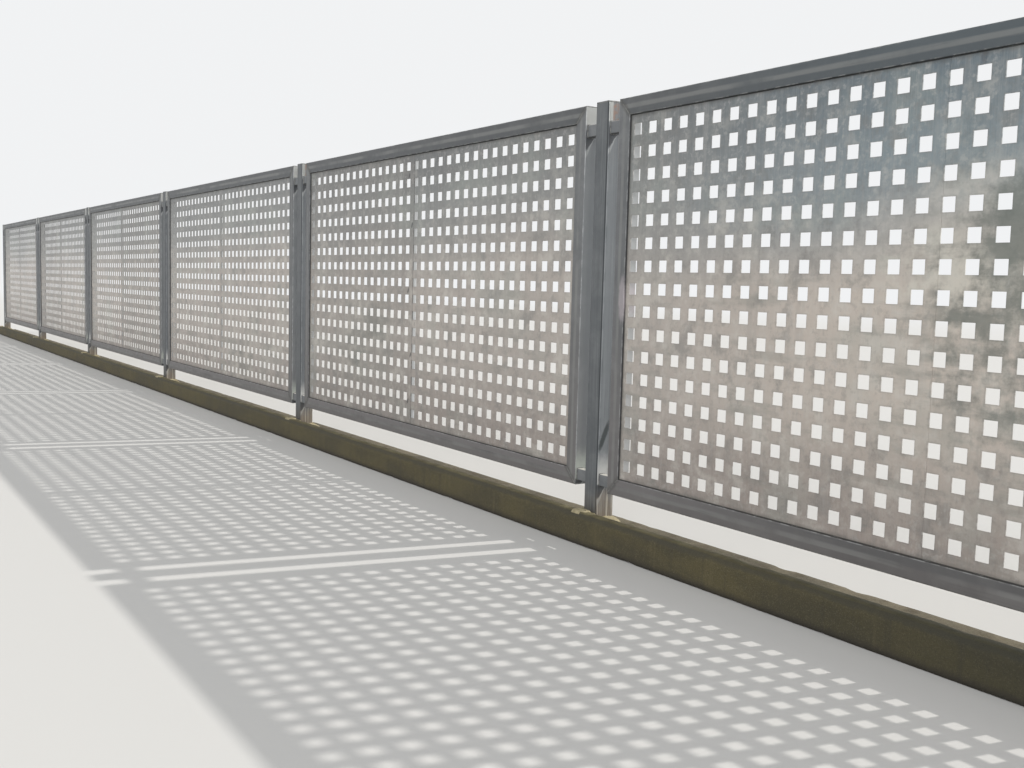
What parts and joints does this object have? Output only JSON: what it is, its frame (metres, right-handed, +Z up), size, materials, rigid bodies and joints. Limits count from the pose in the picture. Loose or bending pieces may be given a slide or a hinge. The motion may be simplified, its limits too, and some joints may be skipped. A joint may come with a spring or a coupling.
{
  "type": "perforated metal fence",
  "caption": "Galvanised steel fence of square-perforated sheet panels in mitred tube frames, hung on lugs between square posts cast in behind a low concrete kerb.",
  "frame": {"origin": "centre of the middle post's foot, in the plane of the kerb's underside", "axes": "+X along the fence, +Y away from the pavement side, +Z up"},
  "size_m": [20.1, 0.27, 1.836],
  "materials": {
    "galvanised_steel": "weathered galvanised, matt",
    "perforated_sheet": "weathered galvanised sheet, satin",
    "concrete": "rough cast concrete, ochre stained"
  },
  "bodies": {
    "root": {"kerb": "concrete", "strip": "concrete", "post_1": "galvanised_steel", "post_2": "galvanised_steel", "post_3": "galvanised_steel", "post_4": "galvanised_steel", "post_5": "galvanised_steel", "post_6": "galvanised_steel", "post_7": "galvanised_steel", "post_caps": "galvanised_steel", "upper_lugs": "galvanised_steel", "lower_lugs": "galvanised_steel", "bay_1_rails": "galvanised_steel", "bay_1_stiles": "galvanised_steel", "bay_1_left_sheet": "perforated_sheet", "bay_1_right_sheet": "perforated_sheet", "bay_2_rails": "galvanised_steel", "bay_2_stiles": "galvanised_steel", "bay_2_left_sheet": "perforated_sheet", "bay_2_right_sheet": "perforated_sheet", "bay_3_rails": "galvanised_steel", "bay_3_stiles": "galvanised_steel", "bay_3_left_sheet": "perforated_sheet", "bay_3_right_sheet": "perforated_sheet", "bay_4_rails": "galvanised_steel", "bay_4_stiles": "galvanised_steel", "bay_4_left_sheet": "perforated_sheet", "bay_4_right_sheet": "perforated_sheet", "bay_5_rails": "galvanised_steel", "bay_5_stiles": "galvanised_steel", "bay_5_left_sheet": "perforated_sheet", "bay_5_right_sheet": "perforated_sheet", "bay_6_rails": "galvanised_steel", "bay_6_stiles": "galvanised_steel", "bay_6_left_sheet": "perforated_sheet", "bay_6_right_sheet": "perforated_sheet", "seam_bars": "galvanised_steel"}
  },
  "joints": []
}
